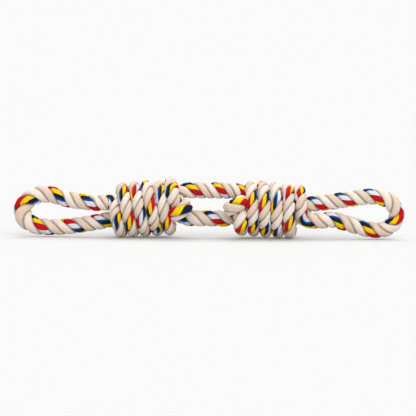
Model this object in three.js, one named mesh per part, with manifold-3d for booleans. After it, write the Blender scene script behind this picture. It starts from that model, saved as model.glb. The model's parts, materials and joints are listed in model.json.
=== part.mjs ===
// Rope dog toy: two lengths of rope, each tied into a hand loop and a wound knot, joined by two lines of
// rope. Millimetres, +Z up, the loops standing in the XZ plane, the origin on the floor under the middle of
// the toy.
import * as THREE from "three";
import { mergeVertices } from "three/addons/utils/BufferGeometryUtils.js";
import Module from "manifold-3d";

// The rope, free and squeezed
const ROPE_D = 15.6;
const CORE_D = 13;
const TUCK_D = 10.8;
const WRAP_WIDTH = 11.3;
const WRAP_THICK = 13.4;

// Clearances between stretches of rope that press on each other
const PIECE_GAP = 0.3;
const WRAP_GAP = 0.8;
const CORE_GAP = 0.4;
const BORE_GAP = 0.5;

// The knots: how many turns the winding makes, counted from the top of a turn, and the part of a turn after
// which the rope is at the front; over how many degrees it swells where it passes the lines; how far the
// knot's axis climbs in a millimetre towards the toy's middle, because the knots lie on their outer turns
const WRAP_TURNS = 5;
const FRONT_TURN = 0.25;
const HALF_TURN = 180;
const SWELL_SPAN = 150;
const KNOT_LEAN = 0.075;
const FLAT_DEPTH = ROPE_D / 10;

// The knot's places along its own length, measured from the front of its first turn towards the toy's
// middle
const MOUTH = -13.5;
const NECK_LENGTH = 20;
const LEG_RISE = 7.4;
const LEG_FRONT = -7;
const LEG_GAP = 0.9;
const LEG_SHIFT = 2.1;
const NECK_SHARE = 0.5;
const SETTLE_RUN = 4;
const SETTLE_SHARE = 0.02;
const LIP_RUN = 1.5;

// The lines between the knots
const LINE_HALF = 10;
const NECK_BEND = 6;
const UPPER_LINE_RISE = 21.3;
const LOWER_LINE_DROP = 6.8;

// The bound rope ends inside the knots
const WHIPPING_LENGTH = 8;
const TWINE_D = 1.6;
const SLOT_DEPTH = 4;
const TAIL_DEPTH = 8;
const TAIL_LENGTH = 26;
const CORE_HOLD = 5;

// Facets
const TUBE_SIDES = 10;
const WIND_SIDES = 8;
const STEPS_PER_TURN = 24;
const BEND_STEPS = 16;
const ROUND_STEPS = 10;
const CROSSING_STEPS = 4;
const WHIPPING_SIDES = 12;
const TUBE_STEPS = { anchor: 8, lineNeck: 5, line: 3, core: 18, neck: 4, bow: 28, tuck: 36, tail: 4 };

// Worked out: three squeezed ropes lie in a triangle in each knot, and the winding fits round them
const CORE_RING = (CORE_D + CORE_GAP) / Math.sqrt(3);
const BORE_R = CORE_RING + CORE_D / 2 + BORE_GAP;
const WIND_R = BORE_R + WRAP_THICK / 2;
const KNOT_R = BORE_R + WRAP_THICK;
const AXIS_Z = KNOT_R - FLAT_DEPTH;
const PITCH = WRAP_WIDTH + WRAP_GAP;
const FIRST_ANGLE = 120;
const LAST_TURN = 360 * WRAP_TURNS;

const COTTON = 0xe6dccf;
const COTTON_SHADE = 0xd8c6b2;
const TWINE = 0xcfc3b0;

// Each knot's own values. side: -1 left, 1 right. inner: how far from the toy's middle its winding ends.
// slant: how much more than half a pitch the rope advances across the front. swell, swellAt: how far the
// winding swells and at which turn angle. anchorDepth: how far past the winding's end the other rope's bound
// end starts. legShift: how far both legs lie off the middle at the mouth. splay and lift: how far the core
// leg and the other leg have moved at the neck's end.
const LEFT = {
  name: "left",
  side: -1,
  inner: 38.9,
  slant: 1.7,
  swell: 3,
  swellAt: LAST_TURN,
  anchorDepth: 15,
  legShift: 0.8,
  splay: 3.3,
  lift: 3.8,
};
const RIGHT = {
  name: "right",
  side: 1,
  inner: 32.6,
  slant: -1.3,
  swell: 3,
  swellAt: LAST_TURN - HALF_TURN,
  anchorDepth: 23,
  legShift: -0.8,
  splay: 3.8,
  lift: -2.1,
};
for (const knot of [LEFT, RIGHT]) {
  knot.end = PITCH * (WRAP_TURNS - FRONT_TURN) - knot.slant;
  knot.outer = knot.inner + knot.end;
  knot.lip = PITCH * FRONT_TURN + knot.slant - WRAP_WIDTH / 2 - LIP_RUN;
}

// A knot's own frame: along its length towards the toy's middle, y, and rise from its axis, which leans. The
// right knot's rise points down.
function place(knot, along, y, rise) {
  const axisZ = AXIS_Z + KNOT_LEAN * along;
  return new THREE.Vector3(knot.side * (knot.outer - along), y, axisZ - knot.side * rise);
}

// A rope's place in the knot's triangle of three, by its angle from +y towards the rise
function slot(knot, along, angle) {
  const a = THREE.MathUtils.degToRad(angle);
  return place(knot, along, CORE_RING * Math.cos(a), CORE_RING * Math.sin(a));
}

const LINE_SLOT = 70;
const ANCHOR_SLOT = -50;
const TAIL_SLOT = 190;
const EXIT_SLOT = -90;

// A stretch of a longer curve, from one of its points to another, shortened by half a gap at each end
class Stretch extends THREE.Curve {
  constructor(route, first, last) {
    super();
    this.route = route;
    const step = 1 / (route.points.length - 1);
    this.start = this.inset(first * step, 1);
    this.end = this.inset(last * step, -1);
  }

  inset(t, way) {
    const small = 1e-4;
    const a = this.route.getPoint(Math.max(t - small, 0));
    const b = this.route.getPoint(Math.min(t + small, 1));
    const speed = a.distanceTo(b) / (Math.min(t + small, 1) - Math.max(t - small, 0));
    return t + (way * PIECE_GAP) / 2 / speed;
  }

  getPoint(t, target = new THREE.Vector3()) {
    return target.copy(this.route.getPoint(THREE.MathUtils.lerp(this.start, this.end, t)));
  }
}

function ropeTube(path, diameter, steps) {
  const section = new THREE.Shape();
  for (let i = 0; i < TUBE_SIDES; i++) {
    const a = (2 * Math.PI * i) / TUBE_SIDES;
    const x = (diameter / 2) * Math.cos(a);
    const y = (diameter / 2) * Math.sin(a);
    if (i === 0) section.moveTo(x, y);
    else section.lineTo(x, y);
  }
  section.closePath();
  const whole = Math.round(steps);
  return new THREE.ExtrudeGeometry(section, { steps: whole, extrudePath: path, bevelEnabled: false });
}

// The winding's centre line: a straight run in from the loop, a bend down the front, the turns, a straight
// run out
function windingLine(knot) {
  const helix = (angle) => {
    const a = THREE.MathUtils.degToRad(angle);
    const off = Math.min(Math.abs(angle - knot.swellAt) / SWELL_SPAN, 1);
    const r = WIND_R + (knot.swell * (1 + Math.cos(Math.PI * off))) / 2;
    const along = PITCH * (angle / 360 - FRONT_TURN) - knot.slant * Math.cos(a);
    return place(knot, along, -r * Math.sin(a), r * Math.cos(a));
  };
  const turnStep = 360 / STEPS_PER_TURN;
  const lead = knot.slant / 2;
  const legRise = LEG_RISE + knot.legShift;
  const bend = new THREE.CatmullRomCurve3([
    place(knot, MOUTH + PIECE_GAP / 2, LEG_FRONT, legRise),
    place(knot, MOUTH / 2, LEG_FRONT, legRise),
    ...WIND_BEND.map(([along, y, rise]) => place(knot, along + lead, LEG_FRONT + y, legRise + rise)),
    helix(FIRST_ANGLE),
    helix(FIRST_ANGLE + turnStep),
  ]);
  const used = (bend.points.length - 2) / (bend.points.length - 1);
  const line = [];
  for (let i = 0; i < BEND_STEPS; i++) line.push(bend.getPoint((used * i) / BEND_STEPS));
  for (let angle = FIRST_ANGLE; angle < LAST_TURN; angle += turnStep) line.push(helix(angle));
  line.push(helix(LAST_TURN + turnStep));
  return line;
}

// The wound rope: an oval section, flattened against its neighbours, carried along the line and closed at
// both ends. It is round where it leaves the loop.
function winding(knot, line) {
  const points = [];
  line.forEach((p, i) => {
    const before = line[Math.max(i - 1, 0)];
    const after = line[Math.min(i + 1, line.length - 1)];
    const heading = after.clone().sub(before).normalize();
    const out = p.clone().sub(place(knot, knot.outer - knot.side * p.x, 0, 0));
    out.addScaledVector(heading, -out.dot(heading)).normalize();
    const side = new THREE.Vector3().crossVectors(heading, out);
    const squeezed = Math.min(i / ROUND_STEPS, 1);
    const thick = THREE.MathUtils.lerp(ROPE_D, WRAP_THICK, squeezed) / 2;
    const wide = THREE.MathUtils.lerp(ROPE_D, WRAP_WIDTH, squeezed) / 2;
    for (let k = 0; k < WIND_SIDES; k++) {
      const a = (2 * Math.PI * k) / WIND_SIDES;
      points.push(
        p
          .clone()
          .addScaledVector(out, thick * Math.cos(a))
          .addScaledVector(side, wide * Math.sin(a)),
      );
    }
  });
  const faces = [];
  const ring = (i, k) => i * WIND_SIDES + (k % WIND_SIDES);
  for (let i = 0; i + 1 < line.length; i++) {
    for (let k = 0; k < WIND_SIDES; k++) {
      faces.push(ring(i, k), ring(i, k + 1), ring(i + 1, k + 1));
      faces.push(ring(i, k), ring(i + 1, k + 1), ring(i + 1, k));
    }
  }
  for (let k = 1; k + 1 < WIND_SIDES; k++) {
    faces.push(ring(0, 0), ring(0, k + 1), ring(0, k));
    faces.push(ring(line.length - 1, 0), ring(line.length - 1, k), ring(line.length - 1, k + 1));
  }
  const geometry = new THREE.BufferGeometry().setFromPoints(points);
  geometry.setIndex(faces);
  console.log(`${knot.name} winding, least gap to itself: ${leastGap(points).toFixed(2)} mm`);
  return geometry;
}

// The least distance between surface points that lie half a turn or more apart along the winding
function leastGap(points) {
  const apart = (STEPS_PER_TURN / 2) * WIND_SIDES;
  let least = Infinity;
  for (let i = 0; i < points.length; i++) {
    for (let j = i + apart; j < points.length; j++) {
      least = Math.min(least, points[i].distanceToSquared(points[j]));
    }
  }
  return Math.sqrt(least);
}

const wasm = await Module();
wasm.setup();

function solid(geometry) {
  const plain = geometry.clone();
  plain.deleteAttribute("normal");
  plain.deleteAttribute("uv");
  const merged = mergeVertices(plain, 1e-4);
  const vertProperties = new Float32Array(merged.attributes.position.array);
  const triVerts = new Uint32Array(merged.index.array);
  return new wasm.Manifold(new wasm.Mesh({ numProp: 3, vertProperties, triVerts }));
}

// Cuts off what lies below the floor, which leaves the geometry a flat to rest on
function cutFlat(geometry) {
  const mesh = solid(geometry).trimByPlane([0, 0, 1], 0).getMesh();
  const cut = new THREE.BufferGeometry();
  cut.setAttribute("position", new THREE.BufferAttribute(new Float32Array(mesh.vertProperties), 3));
  cut.setIndex(Array.from(mesh.triVerts));
  return cut;
}

// A rope end bound with turns of twine, lying along its knot at the end of a squeezed rope
function whipping(end, way) {
  const profile = [new THREE.Vector2(0, 0)];
  const turns = Math.round(WHIPPING_LENGTH / TWINE_D);
  for (let i = 0; i < turns; i++) {
    profile.push(new THREE.Vector2(CORE_D / 2 - TWINE_D / 4, (WHIPPING_LENGTH * i) / turns));
    profile.push(new THREE.Vector2(CORE_D / 2, (WHIPPING_LENGTH * (i + 0.5)) / turns));
  }
  profile.push(new THREE.Vector2(CORE_D / 2 - TWINE_D / 4, WHIPPING_LENGTH));
  profile.push(new THREE.Vector2(0, WHIPPING_LENGTH));
  const geometry = new THREE.LatheGeometry(profile, WHIPPING_SIDES);
  geometry.rotateZ((-way * Math.PI) / 2);
  geometry.rotateY(way * Math.atan(KNOT_LEAN));
  geometry.translate(end.x + (way * PIECE_GAP) / 2, end.y, end.z);
  return geometry;
}

const toy = new THREE.Group();
function add(name, geometry, color) {
  const cotton = new THREE.MeshStandardMaterial({ color, roughness: 0.9, metalness: 0 });
  const mesh = new THREE.Mesh(geometry, cotton);
  mesh.name = name;
  toy.add(mesh);
}

// Points chosen by hand, each [along, y, rise]. Those of the knots and loops are in their knot's own frame,
// and where a list says so, along starts at the winding's end. Those of the lines are in the toy's frame.
// The bend from the loop's leg down the front, from where the leg meets the knot
const WIND_BEND = [
  [-2.6, -0.3, -0.2],
  [-0.1, -3.5, -2.1],
  [0.2, -7.5, -6.5],
  [0.5, -10.2, -12.2],
];
const ROUTES = {
  left: {
    // From the centre line down into the knot, from the winding's end
    lineEntry: [
      [12.2, 0.3, 15.3],
      [5.5, 0.9, 11.3],
    ],
    // From the other rope's line into the knot, from the winding's end
    anchorEntry: [
      [12.2, 3, -10.7],
      [6, 4.2, -7.9],
    ],
    coreLeg: [
      [-45.3, 0, -12.4],
      [-55.3, 0, -12.5],
      [-65.4, 0, -12],
    ],
    bow: [
      [-75.5, 0, -10.9],
      [-84.8, 0, -7.2],
      [-91, 0, -1.2],
      [-93.5, 0, 5.6],
      [-90.8, 0, 13.6],
      [-83.6, 0, 19.7],
      [-74.3, 0, 22.2],
    ],
    wrapLeg: [
      [-64.5, -0.3, 21],
      [-54.3, -1, 17.9],
      [-45.3, -2.2, 14.4],
    ],
    // From the winding's end down the front, in behind itself, round to the front and back into the knot
    tuck: [
      [1.6, -21.4, 15.8],
      [2.6, -21.3, 11],
      [4.2, -18.4, 7],
      [6.4, -14.9, 5],
      [9.8, -13.3, 3.8],
      [13.3, -14.6, 2.4],
      [15.3, -19.1, 0.6],
      [13.4, -23.5, -1.2],
      [9.5, -25, -3.2],
      [6.2, -22.8, -5],
      [4.8, -18.4, -6.3],
      [3, -13.2, -5.6],
      [-0.6, -9.8, -3.7],
      [-4.2, -8, -1.8],
    ],
  },
  right: {
    lineEntry: [
      [4, 1.8, 7.9],
      [1, 2.2, 7.4],
    ],
    anchorEntry: [
      [3.2, 0.7, -15.7],
      [-5.3, 3, -9.7],
      [-11.8, 4.6, -6.9],
    ],
    coreLeg: [
      [-44, 0, -16.4],
      [-55, 0, -18.8],
      [-66, 0, -21.1],
    ],
    bow: [
      [-76, 0, -22.2],
      [-85.4, 0, -20.4],
      [-92.5, 0, -15.7],
      [-96.6, 0, -8.2],
      [-95.6, 0, -0.2],
      [-89, 0, 7.5],
      [-80, 0, 11.4],
    ],
    wrapLeg: [
      [-70, -0.3, 12],
      [-58, -1, 9.5],
      [-45, -2.2, 6.9],
    ],
    tuck: [
      [1.2, -21.1, 16],
      [0.9, -21.4, 11.2],
      [1.2, -18.6, 7.2],
      [3, -14.9, 5],
      [6.4, -13.3, 3.8],
      [10.2, -14.6, 2.4],
      [12.2, -19.1, 0.6],
      [10.3, -23.5, -1.2],
      [6.4, -25, -3.2],
      [2.7, -23, -5],
      [1, -18.4, -6.2],
      [-0.4, -13.4, -5.6],
      [-2.4, -10, -3.9],
      [-5, -8.1, -2],
    ],
  },
};
const inKnot = (knot, list) => list.map(([along, y, rise]) => place(knot, along, y, rise));
const fromEnd = (knot, list) => list.map(([along, y, rise]) => place(knot, knot.end + along, y, rise));
const onLine = (x, rise) => new THREE.Vector3(x, 0, AXIS_Z + rise);

// A rope's sections in order, each from the last point of the one before, on one smooth curve
function stretches(sections) {
  const all = [];
  const marks = {};
  for (const [name, list] of sections) {
    const first = Math.max(all.length - 1, 0);
    all.push(...list);
    marks[name] = [first, all.length - 1];
  }
  const curve = new THREE.CatmullRomCurve3(all);
  return (name) => new Stretch(curve, ...marks[name]);
}

// One whole rope: its first end in the other knot, the line across, its own knot's core, its loop, its
// winding, the tuck and the tail
function tieRope(own, other, line, rise) {
  const leg = own === LEFT ? { core: "lower", wrap: "upper" } : { core: "upper", wrap: "lower" };
  const my = ROUTES[own.name];
  const theirs = ROUTES[other.name];
  const legRise = LEG_RISE + own.legShift;
  const coreDrop = legRise - ROPE_D - LEG_GAP;
  const neckEnd = MOUTH - NECK_LENGTH;
  const lineX = other.side * LINE_HALF;
  const lineSwing = other.side * (LINE_HALF + NECK_BEND);
  const anchored = [
    slot(other, other.end - other.anchorDepth, ANCHOR_SLOT),
    slot(other, other.end - other.anchorDepth + CORE_D / 2, ANCHOR_SLOT),
  ];
  const hold = own.end - own.anchorDepth - WHIPPING_LENGTH - CORE_HOLD;
  const crossing = [];
  for (let i = 1; i <= CROSSING_STEPS; i++) {
    const f = i / CROSSING_STEPS;
    const along = THREE.MathUtils.lerp(hold, own.lip, f);
    crossing.push(slot(own, along, THREE.MathUtils.lerp(LINE_SLOT, EXIT_SLOT, f)));
  }
  const part = stretches([
    [`${other.name}_anchored_end`, [...anchored, ...fromEnd(other, theirs.anchorEntry).reverse()]],
    [`${line}_${other.name}_neck`, [onLine(lineSwing, rise), onLine(lineX, rise)]],
    [`${line}_line`, [onLine(0, rise), onLine(-lineX, rise)]],
    [`${line}_${own.name}_neck`, [onLine(-lineSwing, rise), fromEnd(own, my.lineEntry)[0]]],
    [
      `${own.name}_core_line`,
      [
        ...fromEnd(own, my.lineEntry).slice(1),
        slot(own, own.end - SLOT_DEPTH, LINE_SLOT),
        slot(own, hold, LINE_SLOT),
        ...crossing,
        place(own, MOUTH, 0, coreDrop),
      ],
    ],
    [
      `${own.name}_${leg.core}_neck`,
      [
        place(own, MOUTH - NECK_LENGTH / 2, 0, coreDrop - NECK_SHARE * own.splay),
        place(own, neckEnd, 0, coreDrop - own.splay),
      ],
    ],
    [
      `${own.name}_loop_bow`,
      [
        ...inKnot(own, my.coreLeg),
        ...inKnot(own, my.bow),
        ...inKnot(own, my.wrapLeg),
        place(own, neckEnd, LEG_FRONT + LEG_SHIFT, legRise + own.lift),
      ],
    ],
    [
      `${own.name}_${leg.wrap}_neck`,
      [
        place(own, MOUTH - NECK_LENGTH / 2, LEG_FRONT, legRise + NECK_SHARE * own.lift),
        place(own, MOUTH - SETTLE_RUN, LEG_FRONT, legRise + SETTLE_SHARE * own.lift),
        place(own, MOUTH, LEG_FRONT, legRise),
      ],
    ],
  ]);
  const tube = (name, diameter, steps) => add(name, ropeTube(part(name), diameter, steps), COTTON);
  tube(`${other.name}_anchored_end`, CORE_D, TUBE_STEPS.anchor);
  add(`${other.name}_anchor_whipping`, whipping(anchored[0], other.side), TWINE);
  tube(`${line}_${other.name}_neck`, ROPE_D, TUBE_STEPS.lineNeck);
  tube(`${line}_line`, ROPE_D, TUBE_STEPS.line);
  tube(`${line}_${own.name}_neck`, ROPE_D, TUBE_STEPS.lineNeck);
  tube(`${own.name}_core_line`, CORE_D, TUBE_STEPS.core);
  tube(`${own.name}_${leg.core}_neck`, ROPE_D, TUBE_STEPS.neck);
  tube(`${own.name}_loop_bow`, ROPE_D, TUBE_STEPS.bow);
  tube(`${own.name}_${leg.wrap}_neck`, ROPE_D, TUBE_STEPS.neck);

  const wound = windingLine(own);
  add(`${own.name}_knot_winding`, cutFlat(winding(own, wound)), COTTON_SHADE);
  const [before, windingEnd] = wound.slice(-2);
  const heading = windingEnd.clone().sub(before).normalize();
  const tuckStart = windingEnd.clone().addScaledVector(heading, PIECE_GAP / 2);
  const runOn = windingEnd.clone().addScaledVector(heading, TUCK_D / 3);
  const tailIn = own.end - TAIL_DEPTH;
  const tailStart = slot(own, tailIn, TAIL_SLOT);
  const tailEnd = slot(own, tailIn - TAIL_LENGTH, TAIL_SLOT);
  const last = stretches([
    [`${own.name}_tuck`, [tuckStart, runOn, ...fromEnd(own, my.tuck), tailStart]],
    [`${own.name}_tail`, [slot(own, tailIn - TAIL_LENGTH / 2, TAIL_SLOT), tailEnd]],
  ]);
  add(`${own.name}_tuck`, ropeTube(last(`${own.name}_tuck`), TUCK_D, TUBE_STEPS.tuck), COTTON_SHADE);
  add(`${own.name}_tail`, ropeTube(last(`${own.name}_tail`), CORE_D, TUBE_STEPS.tail), COTTON);
  add(`${own.name}_tail_whipping`, whipping(tailEnd, own.side), TWINE);
}

tieRope(LEFT, RIGHT, "centre_upper", UPPER_LINE_RISE);
tieRope(RIGHT, LEFT, "centre_lower", -LOWER_LINE_DROP);

export default toy;
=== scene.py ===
"""Rope dog toy: laid cotton rope, with its yarns and colours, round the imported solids. Metres, +Z up."""
import json
from dataclasses import dataclass

import bpy
import numpy as np
from mathutils import Matrix, Vector
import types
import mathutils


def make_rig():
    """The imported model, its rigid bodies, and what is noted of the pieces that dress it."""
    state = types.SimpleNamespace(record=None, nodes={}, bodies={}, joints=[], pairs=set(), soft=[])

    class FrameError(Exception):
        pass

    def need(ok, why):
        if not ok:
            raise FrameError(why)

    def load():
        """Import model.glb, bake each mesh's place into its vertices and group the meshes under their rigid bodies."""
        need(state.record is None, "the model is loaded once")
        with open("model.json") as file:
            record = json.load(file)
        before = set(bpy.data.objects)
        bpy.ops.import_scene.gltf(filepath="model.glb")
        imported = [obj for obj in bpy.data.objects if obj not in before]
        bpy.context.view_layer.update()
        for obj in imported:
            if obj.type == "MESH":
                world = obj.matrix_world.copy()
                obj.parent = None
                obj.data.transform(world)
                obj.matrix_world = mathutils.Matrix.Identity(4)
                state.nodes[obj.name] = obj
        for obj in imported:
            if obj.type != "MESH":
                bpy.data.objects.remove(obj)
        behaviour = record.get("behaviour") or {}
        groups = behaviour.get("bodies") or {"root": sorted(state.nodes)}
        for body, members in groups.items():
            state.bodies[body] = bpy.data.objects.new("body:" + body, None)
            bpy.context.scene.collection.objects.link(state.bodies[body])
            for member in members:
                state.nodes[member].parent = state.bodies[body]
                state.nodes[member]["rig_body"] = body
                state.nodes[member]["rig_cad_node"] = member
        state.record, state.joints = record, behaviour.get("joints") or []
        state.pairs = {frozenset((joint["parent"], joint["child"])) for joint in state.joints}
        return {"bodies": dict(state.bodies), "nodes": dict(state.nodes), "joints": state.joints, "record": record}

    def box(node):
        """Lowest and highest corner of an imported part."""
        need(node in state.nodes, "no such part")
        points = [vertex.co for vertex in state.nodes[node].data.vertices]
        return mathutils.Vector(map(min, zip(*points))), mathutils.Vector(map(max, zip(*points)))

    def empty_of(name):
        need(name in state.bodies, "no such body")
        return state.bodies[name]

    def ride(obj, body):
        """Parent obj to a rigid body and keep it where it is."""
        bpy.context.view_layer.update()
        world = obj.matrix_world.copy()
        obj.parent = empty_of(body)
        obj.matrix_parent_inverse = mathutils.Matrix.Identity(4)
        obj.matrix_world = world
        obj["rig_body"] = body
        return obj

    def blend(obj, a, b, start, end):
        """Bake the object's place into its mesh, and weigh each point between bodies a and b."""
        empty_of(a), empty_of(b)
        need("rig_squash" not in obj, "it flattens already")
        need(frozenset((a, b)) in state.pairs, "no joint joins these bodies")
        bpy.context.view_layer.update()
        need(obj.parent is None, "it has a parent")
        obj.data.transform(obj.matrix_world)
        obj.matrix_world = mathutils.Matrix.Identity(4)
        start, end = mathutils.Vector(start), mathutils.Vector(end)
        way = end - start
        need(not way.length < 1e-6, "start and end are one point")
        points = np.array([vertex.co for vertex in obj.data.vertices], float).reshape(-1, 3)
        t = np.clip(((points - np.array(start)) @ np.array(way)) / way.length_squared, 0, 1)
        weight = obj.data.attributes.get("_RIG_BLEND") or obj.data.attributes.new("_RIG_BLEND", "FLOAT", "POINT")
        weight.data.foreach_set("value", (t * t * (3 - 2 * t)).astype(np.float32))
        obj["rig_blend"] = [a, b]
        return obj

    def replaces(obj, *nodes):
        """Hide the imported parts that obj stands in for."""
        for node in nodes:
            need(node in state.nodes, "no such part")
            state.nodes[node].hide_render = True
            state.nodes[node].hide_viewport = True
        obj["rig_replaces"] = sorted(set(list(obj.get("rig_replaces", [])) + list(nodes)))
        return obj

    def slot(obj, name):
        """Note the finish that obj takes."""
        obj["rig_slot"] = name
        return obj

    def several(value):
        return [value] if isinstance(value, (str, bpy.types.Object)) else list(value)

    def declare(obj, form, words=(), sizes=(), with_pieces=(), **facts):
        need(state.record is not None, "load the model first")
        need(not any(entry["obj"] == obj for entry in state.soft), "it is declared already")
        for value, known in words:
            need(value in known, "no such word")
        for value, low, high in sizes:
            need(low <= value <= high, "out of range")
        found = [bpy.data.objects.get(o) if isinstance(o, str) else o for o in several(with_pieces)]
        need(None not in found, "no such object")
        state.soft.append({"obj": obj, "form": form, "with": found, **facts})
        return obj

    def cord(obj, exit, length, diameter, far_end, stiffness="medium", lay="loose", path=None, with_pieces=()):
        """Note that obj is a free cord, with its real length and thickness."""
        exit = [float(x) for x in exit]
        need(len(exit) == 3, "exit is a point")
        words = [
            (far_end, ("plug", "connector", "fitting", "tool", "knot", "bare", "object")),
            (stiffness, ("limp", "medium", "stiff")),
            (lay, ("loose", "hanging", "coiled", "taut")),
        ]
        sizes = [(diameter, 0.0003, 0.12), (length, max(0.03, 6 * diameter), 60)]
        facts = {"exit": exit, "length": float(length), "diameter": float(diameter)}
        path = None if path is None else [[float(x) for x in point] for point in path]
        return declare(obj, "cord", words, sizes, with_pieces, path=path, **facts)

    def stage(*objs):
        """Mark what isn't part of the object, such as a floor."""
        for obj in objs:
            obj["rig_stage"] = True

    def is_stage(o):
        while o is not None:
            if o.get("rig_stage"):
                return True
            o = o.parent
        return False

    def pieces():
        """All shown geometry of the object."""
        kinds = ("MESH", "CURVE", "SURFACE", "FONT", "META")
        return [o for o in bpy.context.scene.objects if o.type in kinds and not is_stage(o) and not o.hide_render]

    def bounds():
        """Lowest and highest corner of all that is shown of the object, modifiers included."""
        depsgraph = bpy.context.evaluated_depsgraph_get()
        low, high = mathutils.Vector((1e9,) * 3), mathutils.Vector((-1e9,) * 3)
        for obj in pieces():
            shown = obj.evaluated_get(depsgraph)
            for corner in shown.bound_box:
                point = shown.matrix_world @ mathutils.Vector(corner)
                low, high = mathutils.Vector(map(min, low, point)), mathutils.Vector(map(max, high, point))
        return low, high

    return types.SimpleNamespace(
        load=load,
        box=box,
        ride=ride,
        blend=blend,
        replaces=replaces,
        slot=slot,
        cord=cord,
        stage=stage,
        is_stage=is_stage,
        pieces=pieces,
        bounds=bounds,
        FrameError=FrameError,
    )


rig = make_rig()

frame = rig.load()
cad_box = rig.bounds()

# The rope, how far it is squeezed, as a share of its free width (outwards and sideways), and how gradually
ROPE_D = 0.0156
FREE = (1.03, 1.03)
CORE = (0.84, 0.84)
WRAP = (0.9, 0.775)
TUCK = (0.92, 0.92)
SQUEEZE_SPAN = 0.012

# The lay: three strands, each an oval tube round the rope's middle, one turn in a length of rope
STRANDS = 3
STRAND_RING = 0.55 * ROPE_D / 2
STRAND_HIGH = 0.45 * ROPE_D / 2
STRAND_WIDE = 0.62 * ROPE_D / 2
STRAND_FULLNESS = 0.85
STRAND_POINTS = 30
RING_STEP = 0.0011
LAY = 0.0305
LAY_SPAN = 0.014

# The yarns: colour bands in a turn of the lay, round a strand and round one of the tuck, and a band's yarns
BANDS_PER_TURN = 8.9
BANDS_ROUND = 5.1
TUCK_BANDS_ROUND = -2.5
COLOURS = 4
YARNS_PER_BAND = 3

# The winding: a helix, in degrees and in parts of a turn, on an axis that leans
WIND_R = 0.021436
SURFACE_R = 0.028136
WRAP_WIDTH = 0.0113
AXIS_Z = 0.026576
KNOT_LEAN = 0.075
PITCH = 0.0121
TURNS = 5
FRONT_TURN = 0.25
TURN_STEP = 15
FIRST_ANGLE = 120
LAST_ANGLE = 360 * TURNS + TURN_STEP
SWELL_SPAN = 150

# The loop's legs: where they leave the knot, their necks, and how the bend into the winding is eased
MOUTH = -0.0135
NECK = 0.02
NECK_SHARE = 0.5
LEG_FRONT = -0.007
LEG_RISE = 0.0074
LEG_SHIFT = 0.0021
SETTLE_RUN = 0.004
SETTLE_SHARE = 0.02
LIP_RUN = 0.0015
RUN_IN = 0.016
EASE_SPAN = 0.013
EASE_REACH = 0.03

# The ropes inside a knot: a ring of slots, by their angles, and the whipped ends
CORE_RING = 0.007736
CORE_D = 0.013
LINE_SLOT = 70
ANCHOR_SLOT = -50
TAIL_SLOT = 190
EXIT_SLOT = -90
SLOT_DEPTH = 0.004
CORE_HOLD = 0.005
CROSSING_STEPS = 4
TAIL_DEPTH = 0.008
TAIL_LENGTH = 0.026
WHIPPING_LENGTH = 0.008
TWINE_D = 0.0016
TWINE_SINK = TWINE_D / 3

# The centre lines: half the straight length, the bend beside it, the heights over the axis, the necks' ends
LINE_HALF = 0.01
LINE_BEND = 0.006
UPPER_RISE = 0.0213
LOWER_RISE = -0.0068
LEFT_NECK_END = -0.0265
RIGHT_NECK_END = 0.028

# The tuck: how it runs on from the winding, and how far along it the rope has turned round and come back
TUCK_D = 0.0108
TUCK_RUN_ON = TUCK_D / 3
TUCK_RUN = 0.012
TUCK_BACK = 0.028

# How far back a ring may lie and still carry a colour mark, and the same on the tuck
FRONT_Y = 0.004
TUCK_FRONT_Y = -0.0185

# Turns of the lay between two marks: up to the first they lie on one patch, and beyond the second the rope
# passes behind the knot
PATCH_TURNS = 0.5
BACK_TURNS = 2.5

# How softly the floor presses the rope flat
PRESS = 0.0016

# Places on each stretch of a smooth curve
CURVE_STEPS = 24


def fade(off):
    """A share that falls as half a cosine wave, from 1 at 0 to 0 at 1 and beyond, on both sides."""
    return (1 + np.cos(np.pi * np.minimum(np.abs(off), 1))) / 2


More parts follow.
